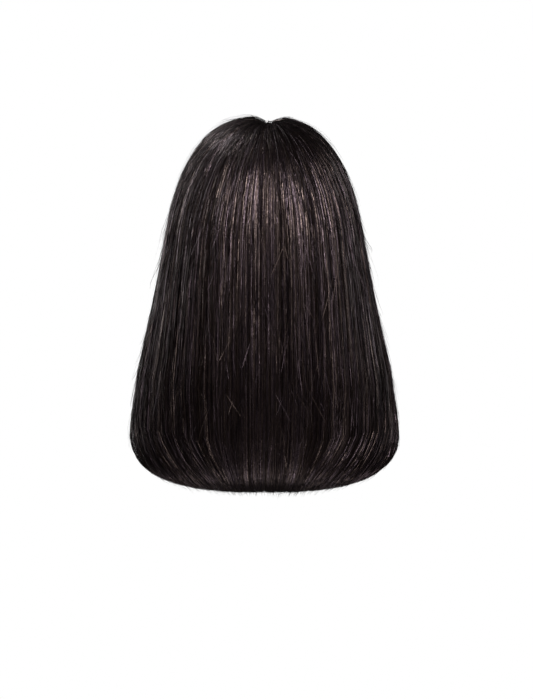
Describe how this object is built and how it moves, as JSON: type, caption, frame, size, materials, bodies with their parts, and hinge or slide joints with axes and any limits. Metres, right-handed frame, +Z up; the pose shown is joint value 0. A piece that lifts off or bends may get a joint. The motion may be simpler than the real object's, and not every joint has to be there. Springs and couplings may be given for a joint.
{
  "type": "bob wig",
  "caption": "Straight shoulder-grazing bob wig with a centre parting, its hair sewn to a hollow net cap that fits over the head, open at the face and neck.",
  "frame": {"origin": "top of the inside of the cap, where the crown of the wearer's head touches it", "axes": "+Z up as worn, the face opening towards -Y, the back of the hair towards +Y, the wearer's left towards +X"},
  "size_m": [0.267, 0.2123, 0.3477],
  "materials": {
    "cap_net": "matt black stretch net",
    "lace": "matt skin-toned lace",
    "hair": "glossy near-black brown straight hair"
  },
  "bodies": {
    "root": {"cap_left": "cap_net", "cap_right": "cap_net", "lace_parting": "lace", "hair_back": "hair", "hair_left": "hair", "hair_right": "hair"}
  },
  "joints": []
}
